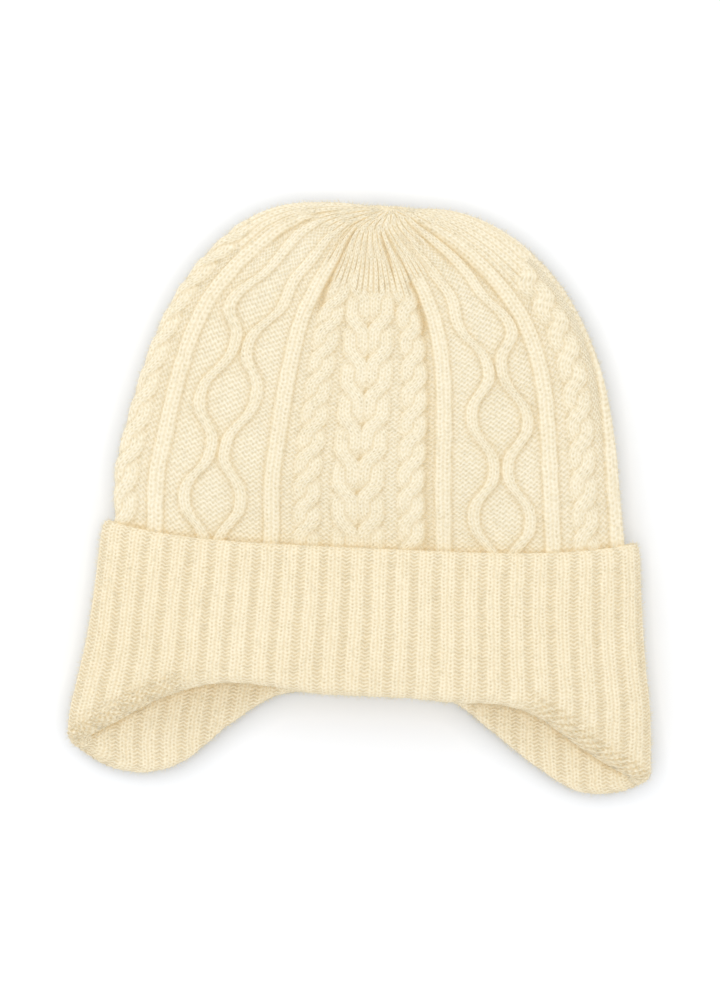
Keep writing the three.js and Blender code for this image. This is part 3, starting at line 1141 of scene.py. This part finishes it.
@dataclass
class Crown:
    """The cable-knit crown, from its lower edge inside the cuff to the gathered top."""

    cuff: CuffShape
    height: float = 200.0
    half_width: float = 105.2
    thickness: float = 20.0
    relief: float = 1.55
    rest_lift: float = 1.2
    front_columns: int = 300
    back_columns: int = 184
    row_step: float = 0.9
    lining_rows: int = 12
    hidden_rows: int = 6
    purl_pitch: float = 1.25
    top_pitch: float = 4.0
    course: float = 1.8
    # distances from the gather at which the cables run out, from the front's middle outwards
    cable_ends: tuple[float, float, float] = (36.0, 18.0, 62.0)
    # widths, as shares of the knitted ones, between which the cables give way to plain wales
    drawn_in: tuple[float, float] = (0.36, 0.28)
    merge_width: float = 0.55
    # heights of the plain wales, as shares of the relief, in the middle and at the sides
    ridge_heights: tuple[float, float] = (0.66, 0.26)
    edge_shadow: float = 0.4
    crease_shadow: float = 0.34
    deepest_shadow: float = 0.85
    # heights over the cuff's edge between which its painted shadow starts and is full
    edge_reach: tuple[float, float] = (1.8, 0.3)
    # places in the table of sections from the last one down to the lining's top
    lining_drop: float = 3.2
    smooth_tip: float = 14.0
    bare_rows: int = 4

    # heights of the sides, front and back; widths left and right; under, over, draw
    SECTIONS = (
        (0.161, 0.161, 0.161, 1, 0.952, 0.02, 1.2, 1),
        (0.333, 0.333, 0.333, 0.962, 0.916, 0, 1.16, 0.99),
        (0.513, 0.498, 0.513, 0.904, 0.862, 0, 1.1, 0.97),
        (0.663, 0.628, 0.663, 0.83, 0.782, 0, 1.03, 0.93),
        (0.783, 0.73, 0.775, 0.742, 0.684, 0.01, 0.97, 0.83),
        (0.88, 0.817, 0.862, 0.634, 0.56, 0.03, 0.92, 0.7),
        (0.949, 0.883, 0.925, 0.53, 0.428, 0.09, 0.88, 0.58),
        (0.988, 0.93, 0.967, 0.4, 0.3, 0.2, 0.85, 0.48),
        (0.999, 0.961, 0.991, 0.23, 0.19, 0.38, 0.82, 0.42),
        (0.994, 0.979, 0.996, 0.08, 0.08, 0.58, 0.78, 0.42),
    )
    # the gathered point's height above the cuff, and its share of the thickness
    GATHER = (0.986, 0.7)
    # how far rows above the last section have gone towards the gathered point
    TOP_ROWS = (0.12, 0.24, 0.36, 0.48, 0.6, 0.72, 0.83, 0.92, 1.0)
    # creases of the drawn-in top: place as a share of the quarter, half width, depth, and the
    # distances from the gather between which they run
    CREASES = (
        (-0.76, 4.0, 0.7, 12, 50),
        (-0.37, 2.4, 1.4, 10, 30),
        (-0.275, 2.2, 1.35, 8, 52),
        (-0.06, 1.6, 0.6, 14, 26),
        (0.065, 1.6, 0.5, 12, 28),
        (0.17, 2.4, 1.5, 12, 30),
        (0.28, 2.2, 1.2, 10, 55),
        (0.266, 1.7, 0.75, 48, 190),
        (0.45, 2.8, 0.9, 8, 34),
        (0.62, 2.8, 0.7, 10, 36),
        (0.73, 2.6, 1.0, 12, 60),
    )
    # knitted height, way of the pattern's middle
    PATTERN_MIDDLE = ((70, -5.5), (100, -4.2), (130, -3.8))
    # size, waves in a turn, height in a radian, phase
    SWAYS = ((0.35, 5, 31, 0.7), (0.25, 9, -19, 2.1), (0.2, 3, 13, 0))
    # weight and reach in cells of the neighbourhoods that shade the hollows
    SHADES = ((0.3, 4.0), (1.1, 1.3))

    def __post_init__(self) -> None:
        """Measure the loop that the ways round the crown are counted on."""
        self.way = WayRound(self.cuff.loop(np.array(self.cuff.top)).shrunk(self.cuff.tuck))
        self.pattern = CablePattern(self.way.round / 4)
        rows = [self.tucked_row(share) for share in (0, 0.5, 1)]
        rows += [self.open_row(*row) for row in self.SECTIONS]
        self.sections = SmoothTable(range(len(rows)), rows)
        self.last = len(rows) - 1

    def tucked_row(self, share: float) -> tuple[float, ...]:
        """Return a section inside the cuff, a share of the way up to the cuff's top.

        Args:
            share: From 0 at the crown's lower edge to 1 at the cuff's top.

        Returns:
            The section's loop and its relief's share.
        """
        low = self.cuff.join_height
        loop = self.cuff.loop(np.array(low + share * (self.cuff.top - low))).shrunk(self.cuff.tuck)
        shape = (loop.middle, loop.half, loop.rise, loop.front, loop.back, loop.under, loop.over)
        return (*map(float, shape), 1.0, 0.3 + 0.7 * share)

    def open_row(
        self, rise: float, front: float, back: float, left: float, right: float,
        under: float, over: float, draw: float,
    ) -> tuple[float, ...]:
        """Return a section above the cuff from a row of SECTIONS.

        Args:
            rise: Height of the sides.
            front: Height of the front.
            back: Height of the back.
            left: Width on the left.
            right: Width on the right.
            under: Lowest place of the wall.
            over: Highest place of the wall.
            draw: 1 where the columns are spread evenly, less where they crowd in the middle.

        Returns:
            The section's loop and its relief's share.
        """
        low, high = self.cuff.top, self.height
        left, right = left * self.half_width, right * self.half_width
        heights = (low + share * (high - low) for share in (rise, front, back))
        return (
            (right - left) / 2, (left + right) / 2, *heights,
            under * self.thickness - self.cuff.rest_sink + self.rest_lift,
            over * self.thickness, draw, 1.0,
        )

    def loop(self, place: Array) -> tuple[FlatLoop, Array]:
        """Return the loops at places in the table of sections, and their relief's shares."""
        *shape, relief = np.moveaxis(self.sections(place), -1, 0)
        return FlatLoop(*shape), relief

    def places(self) -> Array:
        """Spread the rows evenly along the front, closer where they show.

        Returns:
            Places in the table of sections.
        """
        fine = np.linspace(0, self.last, 1200)
        loop, _ = self.loop(fine[:, None])
        line = loop.points(np.array([[0.35 * math.pi]]))[:, 0]
        length = np.concatenate([[0], np.cumsum(np.linalg.norm(np.diff(line, axis=0), axis=1))])
        shown = float(np.interp(self.cuff.height - 5, line[:, 1], length))
        hidden = np.linspace(0, shown, self.hidden_rows, endpoint=False)
        count = round((length[-1] - shown) / self.row_step)
        return np.interp(np.concatenate([hidden, np.linspace(shown, length[-1], count)]), length, fine)

    def ways(self) -> Array:
        """Return the columns' ways round, from the back's middle over the front to it again.

        Returns:
            Ways in millimetres.
        """
        half = self.way.round / 2
        quarter = half / 2
        back = np.linspace(-half, -quarter, self.back_columns // 2 + 1)[:-1]
        front = np.linspace(-quarter, quarter, self.front_columns + 1)
        return np.concatenate([back, front, -back[::-1]])

    def place_in_pattern(self, way: Array, knit: Array, stretch: Array) -> Place:
        """Fold ways into one quarter of the pattern.

        Args:
            way: Ways from the front's middle.
            knit: Knitted heights.
            stretch: The real width of a millimetre of way.

        Returns:
            The places.
        """
        middle = np.interp(knit, *zip(*self.PATTERN_MIDDLE))
        turned = np.mod(way - middle + self.way.round / 2, self.way.round) - self.way.round / 2
        near = np.abs(turned)
        near = np.where(near > self.way.round / 4, self.way.round / 2 - near, near)
        return Place(near, np.where(turned >= 0, 1.0, -1.0), knit, stretch)

    def plain_share(self, place: Place, to_top: Array) -> Array:
        """Return 1 where the cables have run out below the gathered top, and 0 under that.

        Args:
            place: Places in the pattern.
            to_top: Distances to the gathered top.

        Returns:
            Shares from 0 to 1.
        """
        wale = np.rint(place.near * place.side / self.top_pitch)
        ragged = 3.0 * np.sin(2.4 * wale) + 2.0 * np.sin(5.1 * wale + 1)
        share = place.near / self.pattern.quarter
        middle, eyes, outer = self.cable_ends
        limit = middle + (eyes - middle) * smooth_step(0.24, 0.6, share) + ragged
        limit += (outer - eyes) * smooth_step(0.8, 0.83, share)
        drawn_in = smooth_step(*self.drawn_in, place.stretch)
        return np.maximum(smooth_step(3.0, -3.0, to_top - limit), drawn_in)

    def merging(self, place: Place) -> tuple[Array, Array]:
        """Return how often the wales have run together in pairs, and the share of the next time."""
        times = np.clip(np.log2(self.merge_width / np.maximum(place.stretch, 0.01)), 0, 5)
        return np.floor(times), smooth_step(0.25, 0.75, times - np.floor(times))

    def top_ridges(self, place: Place) -> Array:
        """Return the height of the wales that run together at the top.

        Args:
            place: Places in the pattern.

        Returns:
            Heights as shares of the relief.
        """
        def ridge(turns: Array) -> Array:
            """Return a broad ridge with a narrow groove in each turn."""
            return np.clip(1 - (1 - np.abs(2 * np.mod(turns, 1.0) - 1)) ** 2.2, 0, 1) ** 0.8

        times, next_time = self.merging(place)
        turns = place.near / self.top_pitch / 2**times
        high, low = self.ridge_heights
        height = high + (low - high) * smooth_step(0.72, 0.84, place.near / self.pattern.quarter)
        return height * (ridge(turns) * (1 - next_time) + ridge(turns / 2) * next_time)

    def knitting(self, place: Place, to_top: Array) -> tuple[Array, ...]:
        """Work out the relief of the pattern.

        Args:
            place: Places in the pattern.
            to_top: Distances to the gathered top along the wales.

        Returns:
            The relief's share, the share of knit, which cable lies on top, -1 for none and -2 for
            the plain top, and the strand there.
        """
        lift = np.zeros_like(place.near)
        on_top = np.full(place.near.shape, -1)
        strand = np.zeros_like(place.near)
        inside = np.zeros_like(place.near)
        for index, cable in enumerate(self.pattern.cables):
            lay = cable.lay(place)
            above = lay.lift > lift
            lift = np.where(above, lay.lift, lift)
            on_top = np.where(above, index, on_top)
            strand = np.where(above, lay.strand, strand)
            inside = np.maximum(inside, lay.inside)
        plain = self.plain_share(place, to_top)
        lift = lift * (1 - plain) + self.top_ridges(place) * plain
        lift = lift * smooth_step(0.0, 0.07, place.stretch)
        return lift, np.maximum(inside, plain), np.where(plain > 0.5, -2, on_top), strand

    def gathers(self, place: Place, to_top: Array) -> Array:
        """Return the folds that the drawn-in top throws, in millimetres.

        Args:
            place: Places in the pattern.
            to_top: Distances to the gathered top.

        Returns:
            Heights, negative in a crease.
        """
        quarter = self.pattern.quarter
        folds = np.zeros_like(place.near)
        for share, width, depth, low, high in self.CREASES:
            off = (place.near * place.side / quarter - share) * quarter / width
            reach = smooth_step(high + 5, high - 4, to_top) * smooth_step(low - 4, low + 4, to_top)
            folds -= depth * np.exp(-(off**2)) * reach
        return folds * smooth_step(0.04, 0.3, place.stretch)

    def sway(self, way: Array, knit: Array) -> Array:
        """Return the slight unevenness of hand-handled knitwear, in millimetres."""
        return wavy(way / self.way.round * 2 * math.pi, knit, self.SWAYS)

    def skin(self, angle: Array) -> tuple[Array, Array, int]:
        """Lay the smooth points, from the lining's top over the lower edge to the gathered point.

        Args:
            angle: The columns' angles, in one row.

        Returns:
            Points, rows by columns by three, the rows' shares of the relief, and how many rows the
            lining has.
        """
        loop, share = self.loop(self.places()[:, None])
        outer = loop.points(angle)
        low, high = self.cuff.top, self.height
        pole = np.array([float(outer[-1, :, 0].mean()), low + self.GATHER[0] * (high - low),
                         self.GATHER[1] * self.thickness])
        tip = np.stack([outer[-1] + (pole - outer[-1]) * step for step in self.TOP_ROWS])
        tip[-1] = pole
        inner_places = np.linspace(self.last - self.lining_drop, 0, self.lining_rows)[:, None]
        inner = self.loop(inner_places)[0].points(angle, self.cuff.crown_wall)
        inner_pole = np.broadcast_to(inner[0].mean(axis=0), inner[:1].shape)
        lining = len(inner) + 1
        shares = np.concatenate([np.zeros((lining, 1)), share, np.ones((len(tip), 1))])
        return np.concatenate([inner_pole, inner, outer, tip]), shares, lining

    def build(self, shift: Array) -> tuple[bpy.types.Object, Array]:
        """Make the crown.

        Args:
            shift: From the hat's own space to the frame, in millimetres.

        Returns:
            The piece and the points of its outer face.
        """
        ways = self.ways()
        angle = self.way.angle_at(ways)[None, :]
        base, shares, lining = self.skin(angle)
        steps = np.linalg.norm(np.diff(base[lining:], axis=0), axis=-1)
        run = np.concatenate([np.zeros((1, len(ways))), np.cumsum(steps, axis=0)])
        knit, to_top = base[..., 1].copy(), np.full(base.shape[:2], self.height)
        knit[lining:] = self.cuff.join_height + run
        to_top[lining:] = run[-1] - run
        way = np.broadcast_to(ways[None, :], knit.shape)
        place = self.place_in_pattern(way, knit, self.stretch_of(base, ways))

        lift, knit_share, _, _ = self.knitting(place, to_top)
        amount = lift * shares * self.relief
        folds = self.gathers(place, to_top)
        waves = folds + self.sway(way, knit) * smooth_step(0, self.smooth_tip, to_top)
        waves[:lining] = 0
        points = settled(base + outward(base) * (amount + waves)[..., None])
        points[[0, -1]] = base[[0, -1]]
        points[:, -1] = points[:, 0]

        grid = LoopGrid("crown_knit", len(ways) - 1, len(base) - 1)
        grid.place((points + shift) * MM)
        # painted shade: a thin shadow line just above the cuff's free edge, the creases and the hollows
        # beside the cables are darkened in the wool's colour
        edge = smooth_step(*self.edge_reach, base[..., 1] - self.cuff.upper_edge(angle))
        cavity = hollows(amount, self.SHADES) - self.crease_shadow * folds + self.edge_shadow * edge
        cavity = np.clip(cavity, 0, self.deepest_shadow)
        grid.facts(knit_share, cavity, smooth_step(0.01, 0.08, place.stretch))
        courses = knit.copy()
        courses[lining:] = run * (run[-1].min() / run[-1])
        grid.stitches(self.leg_counts(grid, place, way, to_top),
                      grid.at_corners(courses / self.course))
        return grid.finish(CROWN_WOOL), points[lining + self.hidden_rows:-self.bare_rows]

    def stretch_of(self, base: Array, ways: Array) -> Array:
        """Find the real width of a millimetre of way.

        Args:
            base: The crown's smooth points, rows by columns by three.
            ways: The columns' ways.

        Returns:
            Widths, rows by columns.
        """
        along = np.gradient(base, axis=0)
        area = np.linalg.norm(np.cross(np.gradient(base, axis=1), along), axis=-1)
        stretch = area / np.maximum(np.linalg.norm(along, axis=-1), 1e-6) / np.gradient(ways)
        stretch = blurred(stretch[:, :-1], 4.0)
        return np.concatenate([stretch, stretch[:, :1]], axis=1)

    def leg_counts(self, grid: LoopGrid, place: Place, way: Array, to_top: Array) -> Array:
        """Count half stitches across for the corners of every quad, by the strand it lies on.

        Args:
            grid: The crown's grid.
            place: Places in the pattern, rows by columns.
            way: Ways.
            to_top: Distances to the gathered top.

        Returns:
            Quads by four.
        """
        fields = (way, place.knit, place.stretch, to_top)
        way, knit, stretch, to_top = map(grid.at_corners, fields)
        centre = self.place_in_pattern(way.mean(axis=1), knit.mean(axis=1), stretch.mean(axis=1))
        _, _, on_top, strand = self.knitting(centre, to_top.mean(axis=1))
        corners = self.place_in_pattern(way, knit, stretch)
        corners = Place(corners.near, centre.side[:, None] + 0 * way, knit, stretch)
        legs = corners.near / self.purl_pitch / corners.spread
        for index, cable in enumerate(self.pattern.cables):
            lay = cable.lay(corners, strand[:, None])
            legs = np.where((on_top == index)[:, None], lay.legs, legs)
        wales = corners.near / self.top_pitch / 2 ** self.merging(centre)[0][:, None]
        return np.where((on_top == -2)[:, None], wales * 2 + 1, legs)


@dataclass
class Band:
    """The ribbed cuff with its ear flaps: a doubled hem, turned up over the crown."""

    cuff: CuffShape
    ribs: int = 50
    relief: float = 0.68
    valley: float = 0.35
    columns_per_rib: int = 12
    legs_per_rib: int = 6
    course: float = 1.54
    inner_rows: int = 34
    fold_rows: int = 21
    face_rows: int = 74
    roll_rows: int = 9
    back_rows: int = 5
    # relief on the inner face and at the fold, as shares
    inner_relief: float = 0.75
    fold_relief: float = 0.2
    # the worn fold beside the flaps: height of its small bumps, and the painted shade of its pits
    bump_level: float = 0.45
    bump: float = 0.55
    pit_shadow: float = 0.75
    # how much of the ribs is worn away there, and how high over the folded edge it ends and starts
    worn_away: float = 0.7
    worn_reach: tuple[float, float] = (11.0, 5.0)
    # rows over which the sway and the relief fade
    fade_rows: int = 8

    # size, way in a radian, height in a radian, phase
    DRIFTS = ((0.5, 47, 23, 0), (0.3, 29, 9, 1))
    # size, waves in a turn, height in a radian, phase
    SWAYS = ((0.25, 7, 29, 0), (0.2, 13, -17, 1.2))
    # weight and reach in cells of the neighbourhood that shades the hollows
    SHADES = ((0.4, 4.0),)

    @property
    def fold_row(self) -> int:
        """Row in the middle of the fold."""
        return self.inner_rows + self.fold_rows // 2

    @property
    def first_face(self) -> int:
        """Row at which the outer face starts."""
        return self.inner_rows + self.fold_rows - 1

    @property
    def last_face(self) -> int:
        """Row at which the outer face ends."""
        return self.first_face + self.face_rows

    def profile(self, low: Array, high: Array) -> tuple[Array, Array]:
        """Lay the rows of the band's closed profile.

        Args:
            low: Height of the folded edge, by column.
            high: Height of the free edge.

        Returns:
            Heights and insets, rows by columns.
        """
        cuff = self.cuff
        radius, roll = cuff.doubled / 2, cuff.wall / 2
        join = cuff.join_height - cuff.seam_gap
        heights, insets = [], []

        def add(height: Array, inset: float) -> None:
            """Add a row."""
            heights.append(height)
            insets.append(np.full_like(low, inset))

        for share in np.linspace(0, 1, self.inner_rows, endpoint=False):
            add(join + (low + radius - join) * share, cuff.doubled)
        for turn in np.linspace(0, math.pi, self.fold_rows):
            add(low + radius * (1 - math.sin(turn)), radius * (1 + math.cos(turn)))
        for share in np.linspace(0, 1, self.face_rows)[1:]:
            add(low + radius + (high - roll - low - radius) * share, 0.0)
        for turn in np.linspace(0, math.pi, self.roll_rows)[1:]:
            add(high - roll * (1 - math.sin(turn)), roll * (1 - math.cos(turn)))
        for share in np.linspace(0, 1, self.back_rows)[1:]:
            add(high - roll + (join - high + roll) * share, cuff.wall)
        add(np.full_like(low, join), cuff.doubled)
        return np.stack(heights), np.stack(insets)

    def crevice(self, base: Array, low: Array) -> Array:
        """Find where the inside of the back lies close under the front's folded edge, where shade is
        painted.

        Args:
            base: The band's smooth points, rows by columns by three.
            low: Height of the folded edge, by column.

        Returns:
            Shares, rows by columns.
        """
        front = base[self.first_face, :, 2] > self.cuff.thickness / 2
        across, edge = base[self.fold_row, front, 0], low[front]
        order = np.argsort(across)
        beneath = np.interp(base[..., 0], across[order], edge[order]) - base[..., 1]
        close = smooth_step(3.2, 0.6, beneath) * (base[..., 2] < self.cuff.thickness / 2)
        return close * (np.arange(len(base)) < self.inner_rows)[:, None]

    def ribbing(self, turns: Array) -> tuple[Array, Array]:
        """Shape the ribs.

        Args:
            turns: Ribs counted round the loop, rows by columns.

        Returns:
            The ribs' height as a share of the relief, and the share of knit.
        """
        phase = np.mod(turns, 1.0)
        off = 0.5 - np.abs(phase - 0.5)
        lift = smooth_step(0.22 * self.valley, 0.72 * self.valley, off)
        lift += 0.1 * np.abs(np.sin(math.pi * (phase - 0.5) * 3))
        return lift, smooth_step(0.4 * self.valley, 0.6 * self.valley, off)

    def shown(self, rows: Array) -> Array:
        """Return the share of the ribs' relief that the rows have.

        Args:
            rows: Numbers of the rows.

        Returns:
            Shares in one column, one for each row.
        """
        first, last = self.first_face, self.last_face
        inner, fold = self.inner_relief, self.fold_relief
        return np.interp(
            rows,
            [0, 2, self.inner_rows - 4, self.fold_row, first + self.fade_rows, last - 5, last, last + 5],
            [0, inner, inner, fold, 1, 1, 0.1, 0],
        )[:, None]

    def wear(self, ways: Array, low: Array, heights: Array, run: Array) -> tuple[Array, Array]:
        """Find where the fold beside the flaps is worn into small bumps.

        Args:
            ways: The columns' ways.
            low: Height of the folded edge, by column.
            heights: Heights, rows by columns.
            run: Lengths along the cloth.

        Returns:
            The share of wear, and the bumps' height from -1 to 1.
        """
        outside = np.arange(len(heights)) >= self.fold_row
        worn = smooth_step(0.15, 0.45, np.abs(np.gradient(low, ways))) * outside[:, None]
        worn = worn * smooth_step(*self.worn_reach, heights - low)
        return worn, np.sin(ways / 0.5 + heights / 2.3) * np.sin((run - run[self.fold_row]) / 0.42)

    def sway(self, ways: Array, heights: Array) -> Array:
        """Return the slight unevenness of the outer face, in millimetres.

        Args:
            ways: The columns' ways.
            heights: Heights, rows by columns.

        Returns:
            Heights over the smooth face.
        """
        first, last, fade = self.first_face, self.last_face, self.fade_rows
        share = np.interp(np.arange(len(heights)), [first, first + fade, last - fade, last],
                          [0, 1, 1, 0])
        return wavy(ways / self.cuff.way.round * 2 * math.pi, heights, self.SWAYS) * share[:, None]

    def build(self, shift: Array) -> tuple[bpy.types.Object, Array]:
        """Make the band.

        Args:
            shift: From the hat's own space to the frame, in millimetres.

        Returns:
            The piece and the points of its faces that can be seen.
        """
        cuff = self.cuff
        columns = self.ribs * self.columns_per_rib
        ways = (np.arange(columns + 1) / columns - 0.5) * cuff.way.round
        angle = cuff.way.angle_at(ways)
        low, high = cuff.lower_edge(ways), cuff.upper_edge(angle)
        heights, insets = self.profile(low, high)
        base = cuff.loop(heights).points(angle[None, :], insets)
        rows = np.arange(len(base))
        steps = np.linalg.norm(np.diff(base, axis=0), axis=-1)
        run = np.concatenate([np.zeros((1, columns + 1)), np.cumsum(steps, axis=0)])

        drift = sum(size * np.sin(heights / rise + ways / run_on + start)
                    for size, run_on, rise, start in self.DRIFTS)
        turns = (ways[None, :] + drift) / (cuff.way.round / self.ribs)
        lift, knit_share = self.ribbing(turns)
        worn, weave = self.wear(ways, low, heights, run)
        amount = lift * self.shown(rows) * self.relief * (1 - self.worn_away * worn)
        amount = amount + worn * (self.bump_level + self.bump * weave)
        points = settled(base + outward(base) * (amount + self.sway(ways, heights))[..., None])
        points[-1] = points[0]
        points[:, -1] = points[:, 0]

        grid = LoopGrid("rib_band", columns, len(base) - 1)
        grid.place((points + shift) * MM)
        # painted shade: the worn fold's pits, the hollows between the ribs and the crevice under the
        # folded edge are darkened in the wool's colour
        pits = self.pit_shadow * worn * np.clip(0.2 - weave, 0, 1)
        cavity = hollows(amount, self.SHADES) + pits + self.crevice(base, low)
        grid.facts(knit_share, np.clip(cavity, 0, 1), np.ones_like(run))
        inner = grid.at_corners(np.broadcast_to(rows[:, None], run.shape)).max(axis=1) <= self.fold_row
        outer_run = run - run[self.last_face]
        courses = np.where(inner[:, None], grid.at_corners(run), grid.at_corners(outer_run))
        grid.stitches(grid.at_corners(turns * self.legs_per_rib + 1), courses / self.course)
        return grid.finish(CUFF_WOOL), points[self.inner_rows // 2:self.last_face + 5]


@dataclass
class Studio:
    """The white floor, the soft light and the camera above."""

    floor_size: float = 6.0
    view_height: float = 0.41
    lens: float = 85.0
    sensor: float = 36.0
    outline_height: float = 0.012
    aim: tuple[float, float] = (-0.0044, -0.0018)
    turn: float = math.radians(2.5)
    sky: float = 1.13
    key: float = 4.0
    key_size: float = 1.2
    key_place: tuple[float, float, float] = (-0.9, 1.1, 1.0)
    contact_reach: float = 0.012
    contact_power: float = 0.72
    shaded: Colour = (0.38, 0.425, 0.5)
    open_white: Colour = (0.93, 0.945, 0.97)

    def floor(self) -> None:
        """Lay the floor, with a cool grey painted shadow close round the hat."""
        mould = bmesh.new()
        bmesh.ops.create_grid(mould, x_segments=2, y_segments=2, size=self.floor_size / 2)
        mesh = as_mesh(mould, "floor")
        floor = in_scene("floor", mesh)
        graph = Graph("white_floor")
        # painted shadow: the floor's colour turns cool grey where the hat hides it from nearby light
        contact_shadow = graph.node("ShaderNodeAmbientOcclusion", samples=8, only_local=False)
        contact_shadow.inputs["Distance"].default_value = self.contact_reach
        shade = graph.maths("POWER", contact_shadow.outputs["AO"], self.contact_power)
        shader = graph.node("ShaderNodeBsdfDiffuse")
        graph.link(graph.mix(shade, self.shaded, self.open_white), shader.inputs["Color"])
        graph.surface(shader)
        mesh.materials.append(graph.material)

    def light(self) -> None:
        """Light the hat softly from all round, a little more from the upper left."""
        world = bpy.data.worlds.new("studio")
        world.use_nodes = True
        background = world.node_tree.nodes["Background"]
        background.inputs["Color"].default_value = (1, 1, 1, 1)
        background.inputs["Strength"].default_value = self.sky
        bpy.context.scene.world = world
        lamp = bpy.data.lights.new("softbox", "AREA")
        lamp.shape = "DISK"
        lamp.size = self.key_size
        lamp.energy = self.key
        softbox = in_scene("softbox", lamp)
        softbox.location = self.key_place
        direction = -softbox.location.normalized()
        softbox.rotation_mode = "QUATERNION"
        softbox.rotation_quaternion = direction.to_track_quat("-Z", "Y")
        bpy.context.scene.view_settings.view_transform = "Standard"

    def camera(self) -> None:
        """Hang the camera straight above."""
        data = bpy.data.cameras.new("camera")
        data.lens = self.lens
        data.sensor_width = self.sensor
        data.clip_start, data.clip_end = 0.01, 20
        camera = in_scene("camera", data)
        distance = self.view_height * self.lens / self.sensor
        camera.location = (*self.aim, distance + self.outline_height)
        camera.rotation_euler = (0, 0, self.turn)
        bpy.context.scene.camera = camera


def main() -> None:
    """Build the hat in order, and then the studio."""
    logging.basicConfig(level=logging.INFO, format="%(name)s: %(message)s")
    cuff = CuffShape()
    crown = Crown(cuff)
    low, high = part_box(Node.CROWN.value)
    wide = cuff.loop(np.array(0.0))
    edges = crown.loop(np.linspace(0, crown.last, 400)[:, None])[0].points(np.array([[0, math.pi]]))
    middle = (edges[..., 0].max() + edges[..., 0].min()) / 2
    shift = np.array([(low.x + high.x) / 2 / MM - middle, low.y / MM - cuff.join_height, 0.0])
    LOG.info("hat's own space to frame: %s mm, hem %.1f mm wide", shift.round(2), 2 * wide.half)

    piece, face = crown.build(shift)
    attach(piece, "root")
    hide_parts(Node.CROWN.value)
    LOG.info("crown: %d faces", len(piece.data.polygons))
    piece = Fuzz(seed=5).build("crown_fuzz", face, shift)
    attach(piece, "root")

    piece, face = Band(cuff).build(shift)
    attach(piece, "root")
    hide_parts(Node.CUFF.value, Node.FLAP_LEFT.value, Node.FLAP_RIGHT.value)
    LOG.info("band: %d faces", len(piece.data.polygons))
    piece = Fuzz(seed=6).build("band_fuzz", face, shift)
    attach(piece, "root")

    studio = Studio()
    studio.floor()
    studio.light()
    studio.camera()


if __name__ == "__main__":
    main()
